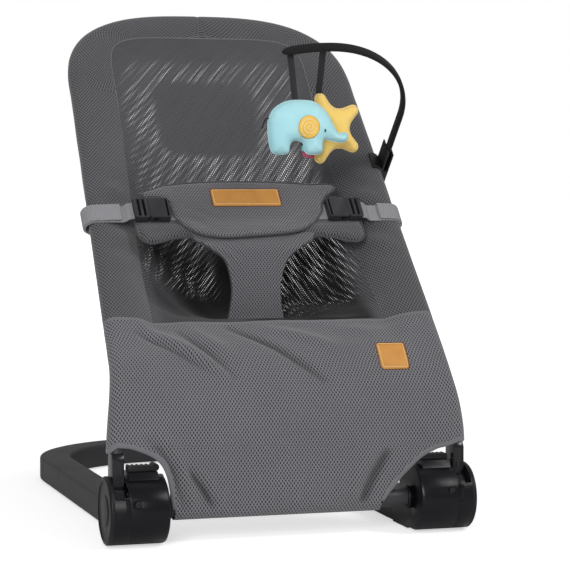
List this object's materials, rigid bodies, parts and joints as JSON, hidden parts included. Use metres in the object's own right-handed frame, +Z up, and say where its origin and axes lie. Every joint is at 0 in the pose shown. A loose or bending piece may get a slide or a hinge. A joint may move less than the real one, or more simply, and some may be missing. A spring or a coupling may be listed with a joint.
{
  "type": "infant bouncer seat",
  "caption": "Folding infant bouncer seat: mesh cover with deep seat pocket on a tube frame, pivot hubs on a U-shaped floor bar, three-point belt and clip-on arched toy bar.",
  "frame": {"origin": "centre of the bounding box on the floor plane under the foot pads", "axes": "+Z up, +Y towards the rear bow of the floor bar, +X across the seat, towards the side that carries the toy bar"},
  "size_m": [0.43, 0.718, 0.6202],
  "materials": {
    "bar": "fine matt grain",
    "pads": "matt",
    "hub": "fine matt grain",
    "cap": "satin",
    "tube": "satin black paint",
    "collar": "satin",
    "trigger": "matt",
    "steel": "zinc plated",
    "screw": "dull",
    "arm": "satin",
    "mesh": "open knitted mesh",
    "twill": "woven",
    "webbing": "ribbed webbing",
    "leather": "smooth",
    "buckle": "satin black",
    "clip": "satin black",
    "band": "padded canvas",
    "plush_blue": "short plush",
    "plush_yellow": "short plush",
    "eye": "satin",
    "ribbon": "woven tape"
  },
  "bodies": {
    "base": {"floor_bar": "bar", "foot_pads": "pads", "cross_tube": "tube", "hub_screws": "screw", "left_hub_housing": "hub", "right_hub_housing": "hub", "left_hub_ring": "hub", "right_hub_ring": "hub", "left_hub_cap": "cap", "right_hub_cap": "cap", "left_tube_collar": "collar", "right_tube_collar": "collar", "left_pin_spring": "steel", "right_pin_spring": "steel"},
    "seat": {"left_arm": "arm", "right_arm": "arm", "left_lock_plate": "steel", "right_lock_plate": "steel", "seat_frame_tube": "tube", "left_border": "twill", "right_border": "twill", "back_panel": "mesh", "apron": "twill", "apron_hem": "twill", "crotch_strip": "twill", "belt_pad": "twill", "belt_webbing": "webbing", "belt_flap": "twill", "belt_patch": "leather", "apron_patch": "leather", "left_buckle_body": "buckle", "right_buckle_body": "buckle"},
    "left_release": {"left_release_slider": "trigger"},
    "right_release": {"right_release_slider": "trigger"},
    "left_pin": {"left_lock_pin": "steel"},
    "right_pin": {"right_lock_pin": "steel"},
    "left_tongue": {"left_buckle_tongue": "buckle", "left_strap": "webbing"},
    "right_tongue": {"right_buckle_tongue": "buckle", "right_strap": "webbing"},
    "toy_bar": {"toy_clip": "clip", "toy_band": "band"},
    "elephant": {"elephant_body": "plush_blue", "elephant_ears": "plush_yellow", "elephant_eyes": "eye", "elephant_tail": "ribbon", "elephant_ribbon": "ribbon"},
    "star": {"star_body": "plush_yellow", "star_tags": "ribbon", "star_ribbon": "ribbon"}
  },
  "joints": [
    {"name": "seat_recline", "type": "hinge", "parent": "base", "child": "seat", "pos_m": [0, -0.3197, 0.04], "axis": [1, 0, 0], "range_deg": [-50, 0]},
    {"name": "left_release_slide", "type": "slide", "parent": "base", "child": "left_release", "axis": [1, 0, 0], "range_m": [0, 0.004], "stiffness_N_per_m": 400},
    {"name": "right_release_slide", "type": "slide", "parent": "base", "child": "right_release", "axis": [-1, 0, 0], "range_m": [0, 0.004], "stiffness_N_per_m": 400},
    {"name": "left_pin_lift", "type": "slide", "parent": "base", "child": "left_pin", "axis": [0, 0, 1], "range_m": [0, 0.002], "deforming": ["left_pin_spring"]},
    {"name": "right_pin_lift", "type": "slide", "parent": "base", "child": "right_pin", "axis": [0, 0, 1], "range_m": [0, 0.002], "deforming": ["right_pin_spring"]},
    {"name": "left_buckle_pull", "type": "slide", "parent": "seat", "child": "left_tongue", "axis": [-1, 0, 0], "range_m": [0, 0.02]},
    {"name": "right_buckle_pull", "type": "slide", "parent": "seat", "child": "right_tongue", "axis": [1, 0, 0], "range_m": [0, 0.02]},
    {"name": "toy_bar_swing", "type": "hinge", "parent": "seat", "child": "toy_bar", "pos_m": [0.18028, -0.07437, 0.42217], "axis": [0, 0.6884, 0.7254], "range_deg": [0, 60]},
    {"name": "elephant_swing", "type": "hinge", "parent": "toy_bar", "child": "elephant", "pos_m": [0.032, -0.21621, 0.55391], "axis": [1, 0, 0], "range_deg": [-20, 0]},
    {"name": "star_swing", "type": "hinge", "parent": "toy_bar", "child": "star", "pos_m": [0.071, -0.22094, 0.55956], "axis": [1, 0, 0], "range_deg": [0, 35]}
  ],
  "couplings": [
    {"joint": "left_pin_lift", "follows": "left_release_slide", "ratio": 0.5},
    {"joint": "right_pin_lift", "follows": "right_release_slide", "ratio": 0.5}
  ]
}
